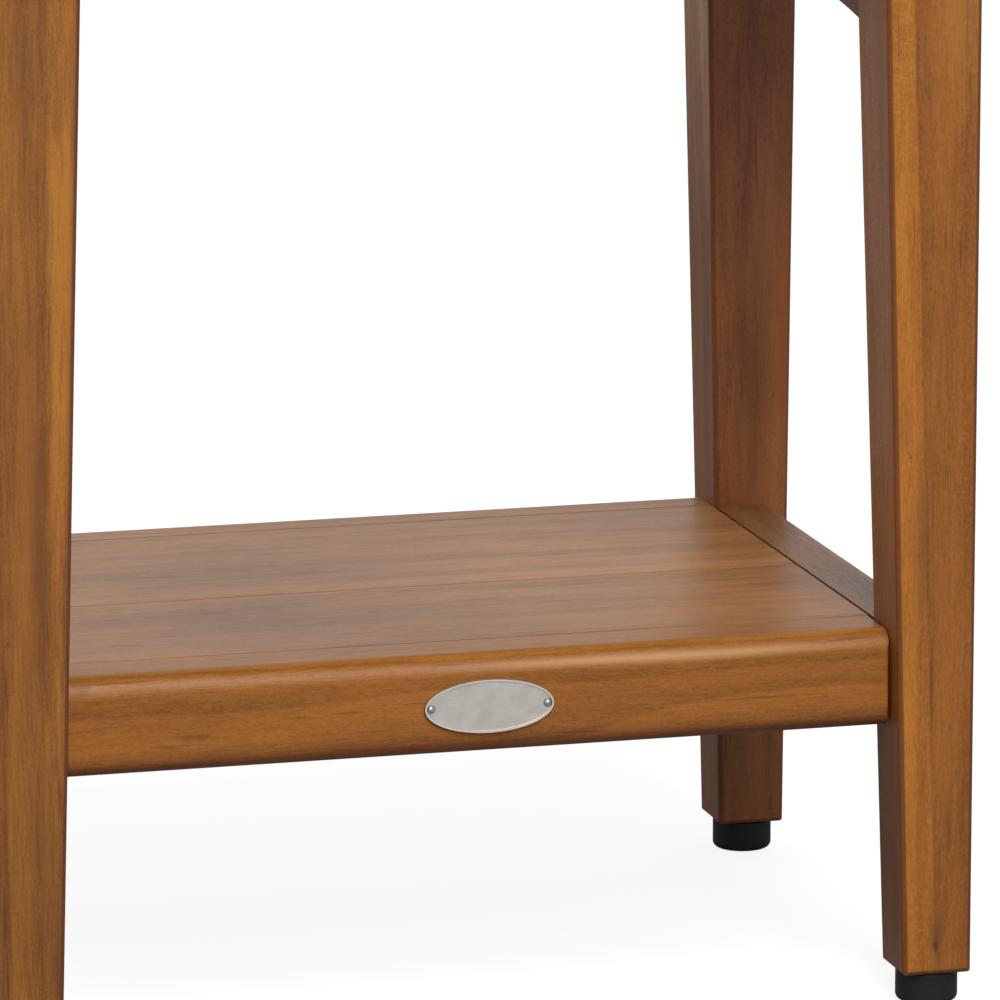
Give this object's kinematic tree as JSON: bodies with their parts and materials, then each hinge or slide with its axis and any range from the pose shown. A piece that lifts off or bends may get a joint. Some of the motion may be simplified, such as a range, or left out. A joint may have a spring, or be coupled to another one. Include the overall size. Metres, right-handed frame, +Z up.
{
  "type": "teak shower bench",
  "caption": "Teak shower bench with a slatted seat, a lower shelf with a rounded front rail and a blank oval plate, tapered legs, and black levelling feet.",
  "frame": {"origin": "on the floor, under the middle of the bench", "axes": "+Z up, +X to the right as seen from the front, -Y towards the front, where the oval plate is"},
  "size_m": [0.457, 0.305, 0.464],
  "materials": {
    "teak_frame": "oiled teak, satin, fine straight grain with dark flecks",
    "teak_seat": "oiled teak, satin",
    "teak_shelf": "oiled teak, satin, slightly paler sheen on top",
    "teak_underside": "plain sawn teak, matt",
    "dowel_wood": "plain hardwood dowel",
    "stainless_steel": "plain stainless steel",
    "zinc_steel": "zinc plated steel",
    "brass": "turned brass",
    "brushed_plate": "brushed metal plate with a bright rim, blank",
    "black_rubber": "matt black, moulded"
  },
  "bodies": {
    "bench": {"leg_front_left": "teak_frame", "leg_front_right": "teak_frame", "leg_back_left": "teak_frame", "leg_back_right": "teak_frame", "upper_side_rail_left": "teak_frame", "upper_side_rail_right": "teak_frame", "lower_side_rail_left": "teak_frame", "lower_side_rail_right": "teak_frame", "seat_front_rail": "teak_seat", "seat_back_rail": "teak_seat", "seat_slat_1": "teak_seat", "seat_slat_2": "teak_seat", "seat_slat_3": "teak_seat", "seat_slat_4": "teak_seat", "shelf_front_rail": "teak_shelf", "shelf_back_rail": "teak_shelf", "shelf_board_front": "teak_shelf", "shelf_board_back": "teak_shelf", "seat_cleat_left": "teak_underside", "seat_cleat_right": "teak_underside", "seat_bearer": "teak_underside", "shelf_cleat_left": "teak_underside", "shelf_cleat_right": "teak_underside", "shelf_bearer": "teak_underside", "foot_inserts": "brass", "upper_rail_dowels": "dowel_wood", "lower_rail_dowels": "dowel_wood", "leg_top_dowels": "dowel_wood", "shelf_dowels": "dowel_wood", "seat_screws": "stainless_steel", "shelf_screws": "stainless_steel", "seat_bolts": "stainless_steel", "shelf_bolts": "stainless_steel", "seat_bolt_washers": "stainless_steel", "shelf_bolt_washers": "stainless_steel", "seat_bolt_inserts": "brass", "shelf_bolt_inserts": "brass", "oval_plate": "brushed_plate", "plate_pins": "stainless_steel"},
    "stud_front_left": {"foot_stud_front_left": "zinc_steel"},
    "pad_front_left": {"foot_pad_front_left": "black_rubber"},
    "stud_front_right": {"foot_stud_front_right": "zinc_steel"},
    "pad_front_right": {"foot_pad_front_right": "black_rubber"},
    "stud_back_left": {"foot_stud_back_left": "zinc_steel"},
    "pad_back_left": {"foot_pad_back_left": "black_rubber"},
    "stud_back_right": {"foot_stud_back_right": "zinc_steel"},
    "pad_back_right": {"foot_pad_back_right": "black_rubber"}
  },
  "joints": [
    {"name": "foot_front_left_drop", "type": "slide", "parent": "bench", "child": "stud_front_left", "axis": [0, 0, -1], "range_m": [0, 0.008]},
    {"name": "foot_front_left_turn", "type": "hinge", "parent": "stud_front_left", "child": "pad_front_left", "pos_m": [-0.1857, -0.127, 0.0132], "axis": [0, 0, -1], "range_deg": [0, 2304.1]},
    {"name": "foot_front_right_drop", "type": "slide", "parent": "bench", "child": "stud_front_right", "axis": [0, 0, -1], "range_m": [0, 0.008]},
    {"name": "foot_front_right_turn", "type": "hinge", "parent": "stud_front_right", "child": "pad_front_right", "pos_m": [0.1857, -0.127, 0.0132], "axis": [0, 0, -1], "range_deg": [0, 2304.1]},
    {"name": "foot_back_left_drop", "type": "slide", "parent": "bench", "child": "stud_back_left", "axis": [0, 0, -1], "range_m": [0, 0.008]},
    {"name": "foot_back_left_turn", "type": "hinge", "parent": "stud_back_left", "child": "pad_back_left", "pos_m": [-0.1857, 0.127, 0.0132], "axis": [0, 0, -1], "range_deg": [0, 2304.1]},
    {"name": "foot_back_right_drop", "type": "slide", "parent": "bench", "child": "stud_back_right", "axis": [0, 0, -1], "range_m": [0, 0.008]},
    {"name": "foot_back_right_turn", "type": "hinge", "parent": "stud_back_right", "child": "pad_back_right", "pos_m": [0.1857, 0.127, 0.0132], "axis": [0, 0, -1], "range_deg": [0, 2304.1]}
  ],
  "couplings": [
    {"joint": "foot_front_left_turn", "follows": "foot_front_left_drop", "rad_per_m": 5026.5},
    {"joint": "foot_front_right_turn", "follows": "foot_front_right_drop", "rad_per_m": 5026.5},
    {"joint": "foot_back_left_turn", "follows": "foot_back_left_drop", "rad_per_m": 5026.5},
    {"joint": "foot_back_right_turn", "follows": "foot_back_right_drop", "rad_per_m": 5026.5}
  ]
}
